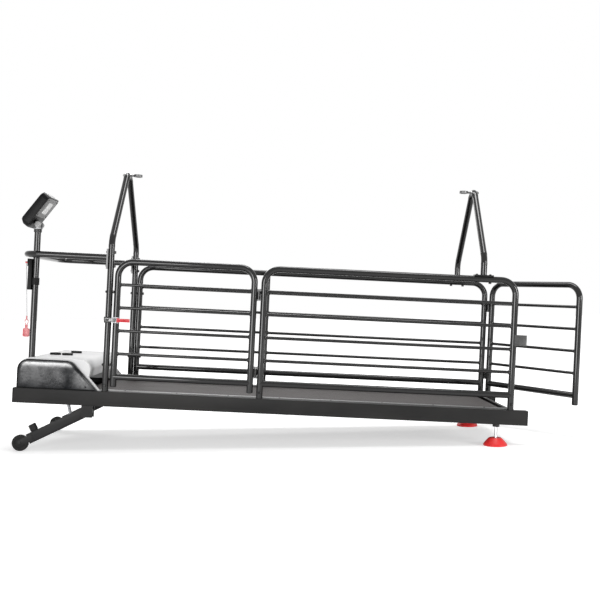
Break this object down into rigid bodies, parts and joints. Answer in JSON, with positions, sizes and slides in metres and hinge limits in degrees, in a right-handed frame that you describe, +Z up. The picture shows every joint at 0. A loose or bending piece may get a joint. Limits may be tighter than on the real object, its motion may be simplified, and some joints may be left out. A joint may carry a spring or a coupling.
{
  "type": "dog treadmill",
  "caption": "Motorised dog treadmill: inclined running belt between barred panels, side and tail gates, harness arches, handlebar, tilting console, powered head lift and red levelling feet",
  "frame": {"origin": "on the floor, midway along the length and the width", "axes": "+X from the head end to the tail along the floor, +Y from the near side to the far side, +Z up; the deck is tilted head up by 3.3 degrees about Y"},
  "size_m": [2.7578, 0.712, 1.3574],
  "materials": {
    "charcoal_coat": "satin powder coat",
    "black_tube": "gloss powder coat",
    "belt_rubber": "fine woven texture",
    "strip_alu": "brushed",
    "hood_white": "gloss",
    "cover_black": "gloss, lightly pebbled",
    "black_plastic": "matt",
    "charcoal_plastic": "satin",
    "grey_plastic": "satin",
    "red_plastic": "gloss",
    "green_plastic": "gloss",
    "screen": "gloss",
    "red_rubber": "satin",
    "black_rubber": "matt",
    "zinc": "zinc plated",
    "steel": "machined",
    "dark_steel": "blackened",
    "board": "waxed fibre board",
    "cord_black": "woven"
  },
  "bodies": {
    "frame": {"near_rail": "charcoal_coat", "far_rail": "charcoal_coat", "rail_end_caps": "black_plastic", "cross_members": "charcoal_coat", "deck_board": "board", "deck_cushions": "black_rubber", "landing_strips": "strip_alu", "running_belt": "belt_rubber", "roller_bearings": "steel", "motor": "dark_steel", "drive_belt": "black_rubber", "controller": "steel", "hood": "hood_white", "near_side_cover": "cover_black", "far_side_cover": "cover_black", "hood_vents": "black_plastic", "power_inlet": "black_plastic", "console_pole": "black_tube", "console_bracket": "grey_plastic", "safety_switch": "black_plastic", "handlebar": "black_tube", "head_arch": "black_tube", "tail_arch": "black_tube", "arch_eye_bolts": "zinc", "frame_bolts": "dark_steel", "near_panel": "black_tube", "far_panel": "black_tube", "gate_hinge_pins": "black_tube", "gate_keepers": "zinc", "lift_brackets": "black_tube"},
    "drive": {"drive_roller": "steel", "drive_pulley": "steel"},
    "tail_roller": {"tail_roller": "steel"},
    "motor_rotor": {"motor_flywheel": "steel"},
    "power_rocker": {"power_rocker": "red_plastic"},
    "console": {"console_shell": "charcoal_plastic", "console_screen": "screen"},
    "start_button": {"start_button": "green_plastic"},
    "minus_button": {"minus_button": "charcoal_plastic"},
    "plus_button": {"plus_button": "charcoal_plastic"},
    "stop_button": {"stop_button": "red_plastic"},
    "pull_switch": {"pull_plunger": "red_plastic", "lanyard_cord": "cord_black", "lanyard_clip": "black_plastic", "lanyard_tag": "red_plastic"},
    "side_gate": {"side_gate": "black_tube", "gate_latch": "zinc"},
    "latch_handle": {"latch_handle": "red_plastic"},
    "latch_hook": {"latch_hook": "zinc"},
    "tail_gate": {"tail_gate": "black_tube"},
    "lift": {"lift_legs": "black_tube", "leg_bumpers": "black_rubber"},
    "near_wheel": {"near_wheel": "black_rubber"},
    "far_wheel": {"far_wheel": "black_rubber"},
    "actuator_body": {"actuator_body": "dark_steel"},
    "actuator_rod": {"actuator_rod": "zinc"},
    "near_foot": {"near_foot_pad": "red_rubber", "near_foot_stud": "zinc"},
    "far_foot": {"far_foot_pad": "red_rubber", "far_foot_stud": "zinc"}
  },
  "joints": [
    {"name": "drive_spin", "type": "hinge", "parent": "frame", "child": "drive", "pos_m": [-1.03322, 0, 0.24752], "axis": [0, 1, 0], "continuous": true},
    {"name": "tail_roller_spin", "type": "hinge", "parent": "frame", "child": "tail_roller", "pos_m": [0.9415, 0, 0.13366], "axis": [0, 1, 0], "continuous": true},
    {"name": "motor_spin", "type": "hinge", "parent": "frame", "child": "motor_rotor", "pos_m": [-1.17269, 0, 0.33019], "axis": [0, 1, 0], "continuous": true},
    {"name": "power_switch", "type": "hinge", "parent": "frame", "child": "power_rocker", "pos_m": [-1.35193, 0.171, 0.34854], "axis": [0, 1, 0], "range_deg": [0, 12]},
    {"name": "console_tilt", "type": "hinge", "parent": "frame", "child": "console", "pos_m": [-1.25723, -0.25, 1.07028], "axis": [0, 1, 0], "range_deg": [-20, 20]},
    {"name": "start_press", "type": "slide", "parent": "console", "child": "start_button", "axis": [0.7738, 0, -0.6334], "range_m": [0, 0.0025], "stiffness_N_per_m": 400},
    {"name": "minus_press", "type": "slide", "parent": "console", "child": "minus_button", "axis": [0.7738, 0, -0.6334], "range_m": [0, 0.0025], "stiffness_N_per_m": 400},
    {"name": "plus_press", "type": "slide", "parent": "console", "child": "plus_button", "axis": [0.7738, 0, -0.6334], "range_m": [0, 0.0025], "stiffness_N_per_m": 400},
    {"name": "stop_press", "type": "slide", "parent": "console", "child": "stop_button", "axis": [0.7738, 0, -0.6334], "range_m": [0, 0.0025], "stiffness_N_per_m": 400},
    {"name": "switch_pull", "type": "slide", "parent": "frame", "child": "pull_switch", "axis": [-0.9983, 0, 0.0576], "range_m": [0, 0.006], "stiffness_N_per_m": 1000},
    {"name": "side_gate_swing", "type": "hinge", "parent": "frame", "child": "side_gate", "pos_m": [-0.23705, -0.3, 0.23618], "axis": [0.0576, 0, 0.9983], "range_deg": [0, 95]},
    {"name": "latch_handle_flip", "type": "hinge", "parent": "side_gate", "child": "latch_handle", "pos_m": [-0.87001, -0.3341, 0.61123], "axis": [-0.0576, 0, -0.9983], "range_deg": [0, 121]},
    {"name": "latch_hook_slide", "type": "slide", "parent": "side_gate", "child": "latch_hook", "axis": [-0.9983, 0, 0.0576], "range_m": [0, 0.006]},
    {"name": "tail_gate_swing", "type": "hinge", "parent": "frame", "child": "tail_gate", "pos_m": [1.00289, 0.3, 0.16468], "axis": [0.0576, 0, 0.9983], "range_deg": [-35, 75]},
    {"name": "lift_swing", "type": "hinge", "parent": "frame", "child": "lift", "pos_m": [-1.02284, 0, 0.18432], "axis": [0, -1, 0], "range_deg": [-14, 14]},
    {"name": "near_wheel_spin", "type": "hinge", "parent": "lift", "child": "near_wheel", "pos_m": [-1.34078, 0, 0.038], "axis": [0, 1, 0], "continuous": true},
    {"name": "far_wheel_spin", "type": "hinge", "parent": "lift", "child": "far_wheel", "pos_m": [-1.34078, 0, 0.038], "axis": [0, 1, 0], "continuous": true},
    {"name": "actuator_swing", "type": "hinge", "parent": "frame", "child": "actuator_body", "pos_m": [-1.22318, 0, 0.32309], "axis": [0, -1, 0], "range_deg": [-5, 5]},
    {"name": "actuator_slide", "type": "slide", "parent": "actuator_body", "child": "actuator_rod", "axis": [0.1916, 0, -0.9815], "range_m": [-0.05, 0.05]},
    {"name": "near_foot_screw", "type": "slide", "parent": "frame", "child": "near_foot", "axis": [-0.0576, 0, -0.9983], "range_m": [0, 0.02]},
    {"name": "far_foot_screw", "type": "slide", "parent": "frame", "child": "far_foot", "axis": [-0.0576, 0, -0.9983], "range_m": [0, 0.02]}
  ],
  "couplings": [
    {"joint": "tail_roller_spin", "follows": "drive_spin", "ratio": 1},
    {"joint": "motor_spin", "follows": "drive_spin", "ratio": 2},
    {"joint": "latch_handle_flip", "follows": "latch_hook_slide", "rad_per_m": 349.07},
    {"joint": "actuator_swing", "follows": "lift_swing", "ratio": 0.18347},
    {"joint": "actuator_slide", "follows": "lift_swing", "m_per_rad": 0.16947}
  ]
}
